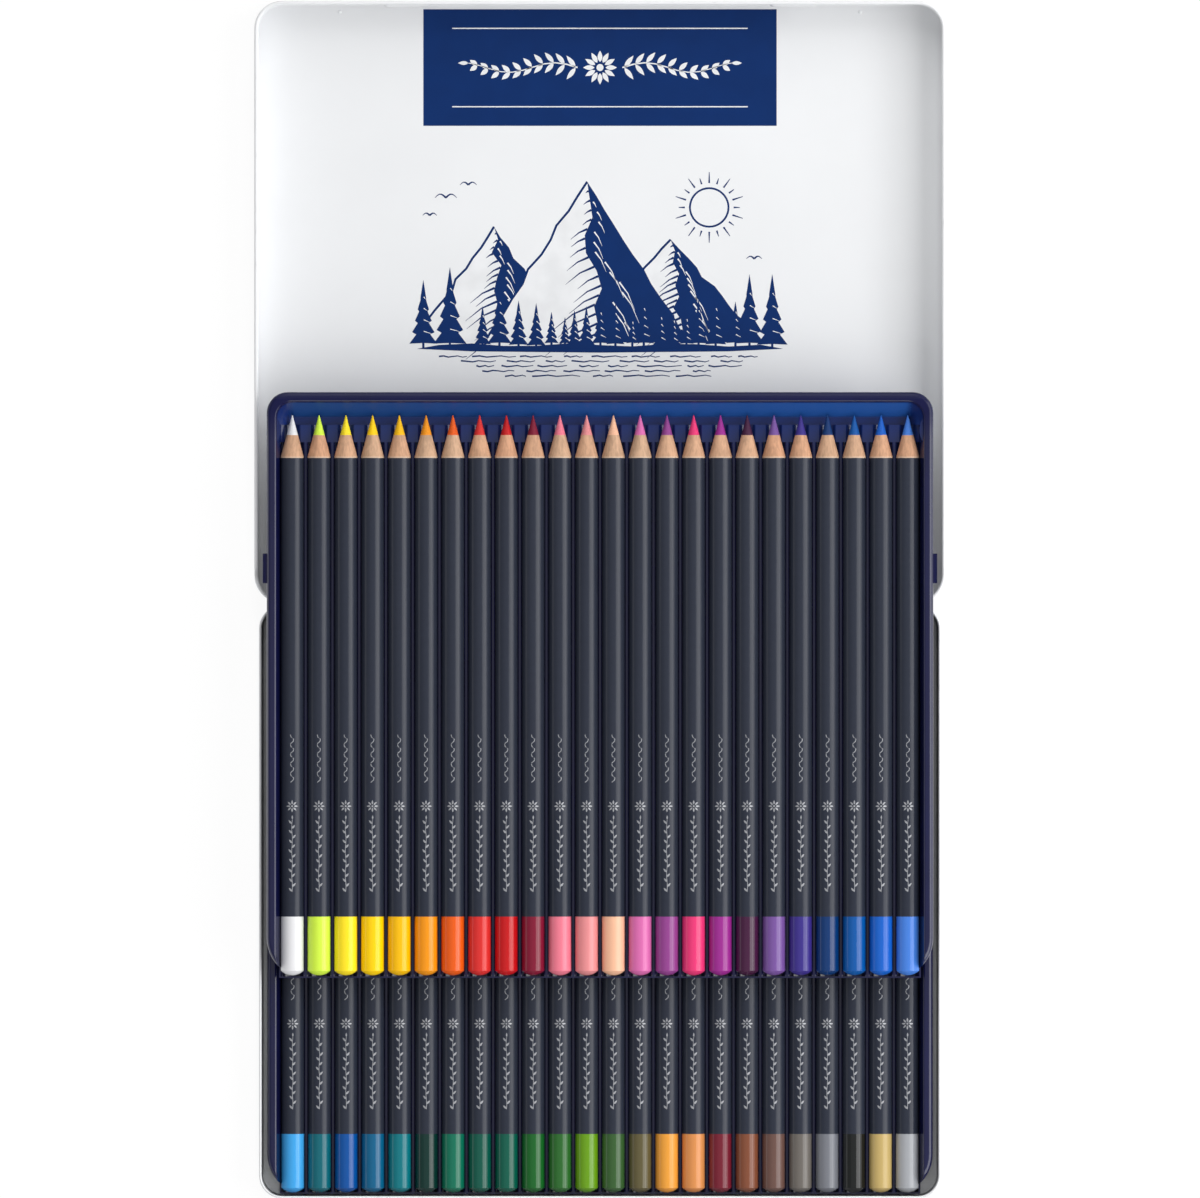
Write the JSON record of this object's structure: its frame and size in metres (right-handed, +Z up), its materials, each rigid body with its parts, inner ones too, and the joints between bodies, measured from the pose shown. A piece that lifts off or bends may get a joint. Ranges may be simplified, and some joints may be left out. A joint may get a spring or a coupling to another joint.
{
  "type": "colored pencil tin",
  "caption": "Flat hinged metal tin, open, with two moulded trays of colored pencils, the upper tray set back over the lid.",
  "frame": {"origin": "centre of the flat underside of the base", "axes": "+Z up, +Y from the base towards the open lid, +X to the right when facing the lid from the front of the base"},
  "size_m": [0.2148, 0.3723, 0.0208],
  "materials": {
    "tin_silver": "satin tinplate",
    "tin_white": "satin white lacquer on sheet steel, with navy printed panels inside",
    "pin_steel": "drawn wire",
    "tray_navy": "glossy navy moulded sheet",
    "pencil_light_blue": "wood casing in dark blue-grey gloss lacquer, with the dipped tail and the core in light blue",
    "pencil_teal": "wood casing in dark blue-grey gloss lacquer, with the dipped tail and the core in teal",
    "pencil_deep_blue": "wood casing in dark blue-grey gloss lacquer, with the dipped tail and the core in deep blue",
    "pencil_cyan_blue": "wood casing in dark blue-grey gloss lacquer, with the dipped tail and the core in cyan blue",
    "pencil_turquoise": "wood casing in dark blue-grey gloss lacquer, with the dipped tail and the core in turquoise",
    "pencil_pine_green": "wood casing in dark blue-grey gloss lacquer, with the dipped tail and the core in pine green",
    "pencil_emerald_green": "wood casing in dark blue-grey gloss lacquer, with the dipped tail and the core in emerald green",
    "pencil_dark_teal_green": "wood casing in dark blue-grey gloss lacquer, with the dipped tail and the core in dark teal green",
    "pencil_sea_green": "wood casing in dark blue-grey gloss lacquer, with the dipped tail and the core in sea green",
    "pencil_green": "wood casing in dark blue-grey gloss lacquer, with the dipped tail and the core in green",
    "pencil_leaf_green": "wood casing in dark blue-grey gloss lacquer, with the dipped tail and the core in leaf green",
    "pencil_lime_green": "wood casing in dark blue-grey gloss lacquer, with the dipped tail and the core in lime green",
    "pencil_moss_green": "wood casing in dark blue-grey gloss lacquer, with the dipped tail and the core in moss green",
    "pencil_olive": "wood casing in dark blue-grey gloss lacquer, with the dipped tail and the core in olive",
    "pencil_amber": "wood casing in dark blue-grey gloss lacquer, with the dipped tail and the core in amber",
    "pencil_tan_orange": "wood casing in dark blue-grey gloss lacquer, with the dipped tail and the core in tan orange",
    "pencil_dark_red": "wood casing in dark blue-grey gloss lacquer, with the dipped tail and the core in dark red",
    "pencil_rust": "wood casing in dark blue-grey gloss lacquer, with the dipped tail and the core in rust",
    "pencil_rosy_brown": "wood casing in dark blue-grey gloss lacquer, with the dipped tail and the core in rosy brown",
    "pencil_warm_grey": "wood casing in dark blue-grey gloss lacquer, with the dipped tail and the core in warm grey",
    "pencil_cold_grey": "wood casing in dark blue-grey gloss lacquer, with the dipped tail and the core in cold grey",
    "pencil_black": "wood casing in dark blue-grey gloss lacquer, with the dipped tail and the core in black",
    "pencil_gold": "wood casing in dark blue-grey gloss lacquer, with the dipped tail and the core in gold",
    "pencil_silver": "wood casing in dark blue-grey gloss lacquer, with the dipped tail and the core in silver",
    "pencil_white": "wood casing in dark blue-grey gloss lacquer, with the dipped tail and the core in white",
    "pencil_lime_yellow": "wood casing in dark blue-grey gloss lacquer, with the dipped tail and the core in lime yellow",
    "pencil_lemon_yellow": "wood casing in dark blue-grey gloss lacquer, with the dipped tail and the core in lemon yellow",
    "pencil_yellow": "wood casing in dark blue-grey gloss lacquer, with the dipped tail and the core in yellow",
    "pencil_golden_yellow": "wood casing in dark blue-grey gloss lacquer, with the dipped tail and the core in golden yellow",
    "pencil_orange": "wood casing in dark blue-grey gloss lacquer, with the dipped tail and the core in orange",
    "pencil_red_orange": "wood casing in dark blue-grey gloss lacquer, with the dipped tail and the core in red orange",
    "pencil_vermilion": "wood casing in dark blue-grey gloss lacquer, with the dipped tail and the core in vermilion",
    "pencil_red": "wood casing in dark blue-grey gloss lacquer, with the dipped tail and the core in red",
    "pencil_crimson": "wood casing in dark blue-grey gloss lacquer, with the dipped tail and the core in crimson",
    "pencil_pink": "wood casing in dark blue-grey gloss lacquer, with the dipped tail and the core in pink",
    "pencil_salmon": "wood casing in dark blue-grey gloss lacquer, with the dipped tail and the core in salmon",
    "pencil_peach": "wood casing in dark blue-grey gloss lacquer, with the dipped tail and the core in peach",
    "pencil_mauve_pink": "wood casing in dark blue-grey gloss lacquer, with the dipped tail and the core in mauve pink",
    "pencil_purple": "wood casing in dark blue-grey gloss lacquer, with the dipped tail and the core in purple",
    "pencil_rose_magenta": "wood casing in dark blue-grey gloss lacquer, with the dipped tail and the core in rose magenta",
    "pencil_magenta_violet": "wood casing in dark blue-grey gloss lacquer, with the dipped tail and the core in magenta violet",
    "pencil_aubergine": "wood casing in dark blue-grey gloss lacquer, with the dipped tail and the core in aubergine",
    "pencil_violet": "wood casing in dark blue-grey gloss lacquer, with the dipped tail and the core in violet",
    "pencil_blue_violet": "wood casing in dark blue-grey gloss lacquer, with the dipped tail and the core in blue violet",
    "pencil_dark_blue": "wood casing in dark blue-grey gloss lacquer, with the dipped tail and the core in dark blue",
    "pencil_blue": "wood casing in dark blue-grey gloss lacquer, with the dipped tail and the core in blue",
    "pencil_mid_blue": "wood casing in dark blue-grey gloss lacquer, with the dipped tail and the core in mid blue",
    "pencil_light_ultramarine": "wood casing in dark blue-grey gloss lacquer, with the dipped tail and the core in light ultramarine"
  },
  "bodies": {
    "base": {"base_tin": "tin_silver", "hinge_pin_left": "pin_steel", "hinge_pin_right": "pin_steel", "lower_tray": "tray_navy", "pencil_lower_01": "pencil_light_blue", "pencil_lower_02": "pencil_teal", "pencil_lower_03": "pencil_deep_blue", "pencil_lower_04": "pencil_cyan_blue", "pencil_lower_05": "pencil_turquoise", "pencil_lower_06": "pencil_pine_green", "pencil_lower_07": "pencil_emerald_green", "pencil_lower_08": "pencil_dark_teal_green", "pencil_lower_09": "pencil_sea_green", "pencil_lower_10": "pencil_green", "pencil_lower_11": "pencil_leaf_green", "pencil_lower_12": "pencil_lime_green", "pencil_lower_13": "pencil_moss_green", "pencil_lower_14": "pencil_olive", "pencil_lower_15": "pencil_amber", "pencil_lower_16": "pencil_tan_orange", "pencil_lower_17": "pencil_dark_red", "pencil_lower_18": "pencil_rust", "pencil_lower_19": "pencil_rosy_brown", "pencil_lower_20": "pencil_warm_grey", "pencil_lower_21": "pencil_cold_grey", "pencil_lower_22": "pencil_black", "pencil_lower_23": "pencil_gold", "pencil_lower_24": "pencil_silver"},
    "lid": {"lid": "tin_white"},
    "upper_tray": {"upper_tray": "tray_navy"},
    "pencil_upper_01": {"pencil_upper_01": "pencil_white"},
    "pencil_upper_02": {"pencil_upper_02": "pencil_lime_yellow"},
    "pencil_upper_03": {"pencil_upper_03": "pencil_lemon_yellow"},
    "pencil_upper_04": {"pencil_upper_04": "pencil_yellow"},
    "pencil_upper_05": {"pencil_upper_05": "pencil_golden_yellow"},
    "pencil_upper_06": {"pencil_upper_06": "pencil_orange"},
    "pencil_upper_07": {"pencil_upper_07": "pencil_red_orange"},
    "pencil_upper_08": {"pencil_upper_08": "pencil_vermilion"},
    "pencil_upper_09": {"pencil_upper_09": "pencil_red"},
    "pencil_upper_10": {"pencil_upper_10": "pencil_crimson"},
    "pencil_upper_11": {"pencil_upper_11": "pencil_pink"},
    "pencil_upper_12": {"pencil_upper_12": "pencil_salmon"},
    "pencil_upper_13": {"pencil_upper_13": "pencil_peach"},
    "pencil_upper_14": {"pencil_upper_14": "pencil_mauve_pink"},
    "pencil_upper_15": {"pencil_upper_15": "pencil_purple"},
    "pencil_upper_16": {"pencil_upper_16": "pencil_rose_magenta"},
    "pencil_upper_17": {"pencil_upper_17": "pencil_magenta_violet"},
    "pencil_upper_18": {"pencil_upper_18": "pencil_aubergine"},
    "pencil_upper_19": {"pencil_upper_19": "pencil_violet"},
    "pencil_upper_20": {"pencil_upper_20": "pencil_blue_violet"},
    "pencil_upper_21": {"pencil_upper_21": "pencil_dark_blue"},
    "pencil_upper_22": {"pencil_upper_22": "pencil_blue"},
    "pencil_upper_23": {"pencil_upper_23": "pencil_mid_blue"},
    "pencil_upper_24": {"pencil_upper_24": "pencil_light_ultramarine"}
  },
  "joints": [
    {"name": "lid_hinge", "type": "hinge", "parent": "base", "child": "lid", "pos_m": [0, 0.09255, 0.01015], "axis": [1, 0, 0], "range_deg": [0, 180]},
    {"name": "tray_lift_out", "type": "slide", "parent": "base", "child": "upper_tray", "axis": [0, -1, 0], "range_m": [0, 0.3785]},
    {"name": "lift_pencil_upper_01", "type": "slide", "parent": "upper_tray", "child": "pencil_upper_01", "axis": [0, 0, 1], "range_m": [0, 0.025]},
    {"name": "lift_pencil_upper_02", "type": "slide", "parent": "upper_tray", "child": "pencil_upper_02", "axis": [0, 0, 1], "range_m": [0, 0.025]},
    {"name": "lift_pencil_upper_03", "type": "slide", "parent": "upper_tray", "child": "pencil_upper_03", "axis": [0, 0, 1], "range_m": [0, 0.025]},
    {"name": "lift_pencil_upper_04", "type": "slide", "parent": "upper_tray", "child": "pencil_upper_04", "axis": [0, 0, 1], "range_m": [0, 0.025]},
    {"name": "lift_pencil_upper_05", "type": "slide", "parent": "upper_tray", "child": "pencil_upper_05", "axis": [0, 0, 1], "range_m": [0, 0.025]},
    {"name": "lift_pencil_upper_06", "type": "slide", "parent": "upper_tray", "child": "pencil_upper_06", "axis": [0, 0, 1], "range_m": [0, 0.025]},
    {"name": "lift_pencil_upper_07", "type": "slide", "parent": "upper_tray", "child": "pencil_upper_07", "axis": [0, 0, 1], "range_m": [0, 0.025]},
    {"name": "lift_pencil_upper_08", "type": "slide", "parent": "upper_tray", "child": "pencil_upper_08", "axis": [0, 0, 1], "range_m": [0, 0.025]},
    {"name": "lift_pencil_upper_09", "type": "slide", "parent": "upper_tray", "child": "pencil_upper_09", "axis": [0, 0, 1], "range_m": [0, 0.025]},
    {"name": "lift_pencil_upper_10", "type": "slide", "parent": "upper_tray", "child": "pencil_upper_10", "axis": [0, 0, 1], "range_m": [0, 0.025]},
    {"name": "lift_pencil_upper_11", "type": "slide", "parent": "upper_tray", "child": "pencil_upper_11", "axis": [0, 0, 1], "range_m": [0, 0.025]},
    {"name": "lift_pencil_upper_12", "type": "slide", "parent": "upper_tray", "child": "pencil_upper_12", "axis": [0, 0, 1], "range_m": [0, 0.025]},
    {"name": "lift_pencil_upper_13", "type": "slide", "parent": "upper_tray", "child": "pencil_upper_13", "axis": [0, 0, 1], "range_m": [0, 0.025]},
    {"name": "lift_pencil_upper_14", "type": "slide", "parent": "upper_tray", "child": "pencil_upper_14", "axis": [0, 0, 1], "range_m": [0, 0.025]},
    {"name": "lift_pencil_upper_15", "type": "slide", "parent": "upper_tray", "child": "pencil_upper_15", "axis": [0, 0, 1], "range_m": [0, 0.025]},
    {"name": "lift_pencil_upper_16", "type": "slide", "parent": "upper_tray", "child": "pencil_upper_16", "axis": [0, 0, 1], "range_m": [0, 0.025]},
    {"name": "lift_pencil_upper_17", "type": "slide", "parent": "upper_tray", "child": "pencil_upper_17", "axis": [0, 0, 1], "range_m": [0, 0.025]},
    {"name": "lift_pencil_upper_18", "type": "slide", "parent": "upper_tray", "child": "pencil_upper_18", "axis": [0, 0, 1], "range_m": [0, 0.025]},
    {"name": "lift_pencil_upper_19", "type": "slide", "parent": "upper_tray", "child": "pencil_upper_19", "axis": [0, 0, 1], "range_m": [0, 0.025]},
    {"name": "lift_pencil_upper_20", "type": "slide", "parent": "upper_tray", "child": "pencil_upper_20", "axis": [0, 0, 1], "range_m": [0, 0.025]},
    {"name": "lift_pencil_upper_21", "type": "slide", "parent": "upper_tray", "child": "pencil_upper_21", "axis": [0, 0, 1], "range_m": [0, 0.025]},
    {"name": "lift_pencil_upper_22", "type": "slide", "parent": "upper_tray", "child": "pencil_upper_22", "axis": [0, 0, 1], "range_m": [0, 0.025]},
    {"name": "lift_pencil_upper_23", "type": "slide", "parent": "upper_tray", "child": "pencil_upper_23", "axis": [0, 0, 1], "range_m": [0, 0.025]},
    {"name": "lift_pencil_upper_24", "type": "slide", "parent": "upper_tray", "child": "pencil_upper_24", "axis": [0, 0, 1], "range_m": [0, 0.025]}
  ],
  "couplings": [
    {"joint": "tray_lift_out", "follows": "lid_hinge", "m_per_rad": 0.12032}
  ]
}
